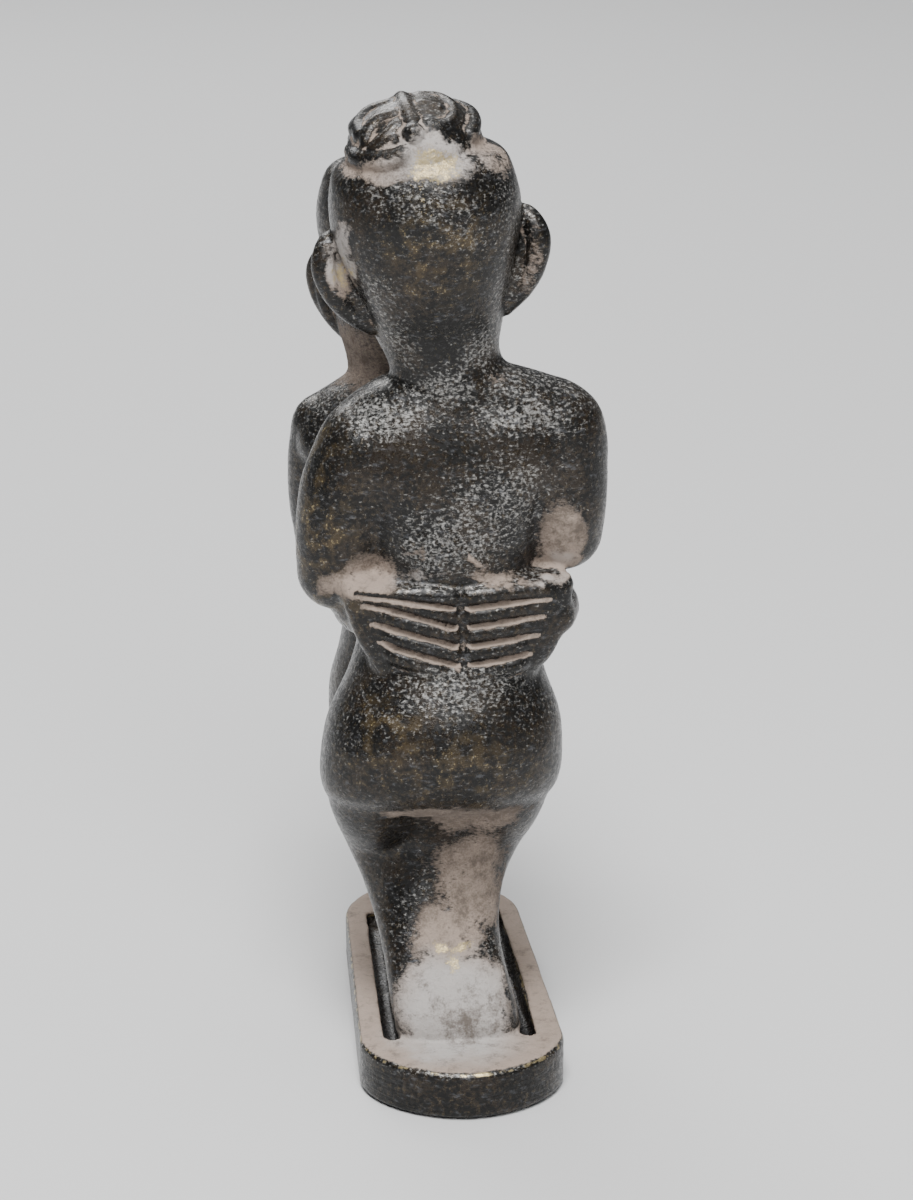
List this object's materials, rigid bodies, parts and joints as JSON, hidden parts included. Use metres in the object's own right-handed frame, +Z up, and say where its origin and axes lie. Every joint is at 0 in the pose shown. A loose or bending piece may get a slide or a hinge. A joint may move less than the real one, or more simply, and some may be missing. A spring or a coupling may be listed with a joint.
{
  "type": "embracing couple figure",
  "caption": "Small dark brass casting of two standing figures embracing face to face on an oblong plinth, with low caps of curled hair and large round ears.",
  "frame": {"origin": "middle of the object's box on its underside, which lies on the surface it stands on", "axes": "+Z up; +Y along the plinth, from the taller figure, which stands at -Y, to the shorter one; +X across the plinth"},
  "size_m": [0.0218, 0.037, 0.0707],
  "materials": {
    "patinated_brass": "dark brown-black patina with a satin sheen, worn to brass on edges, with pale earth in the hollows"
  },
  "bodies": {
    "root": {"embracing_couple": "patinated_brass"}
  },
  "joints": []
}
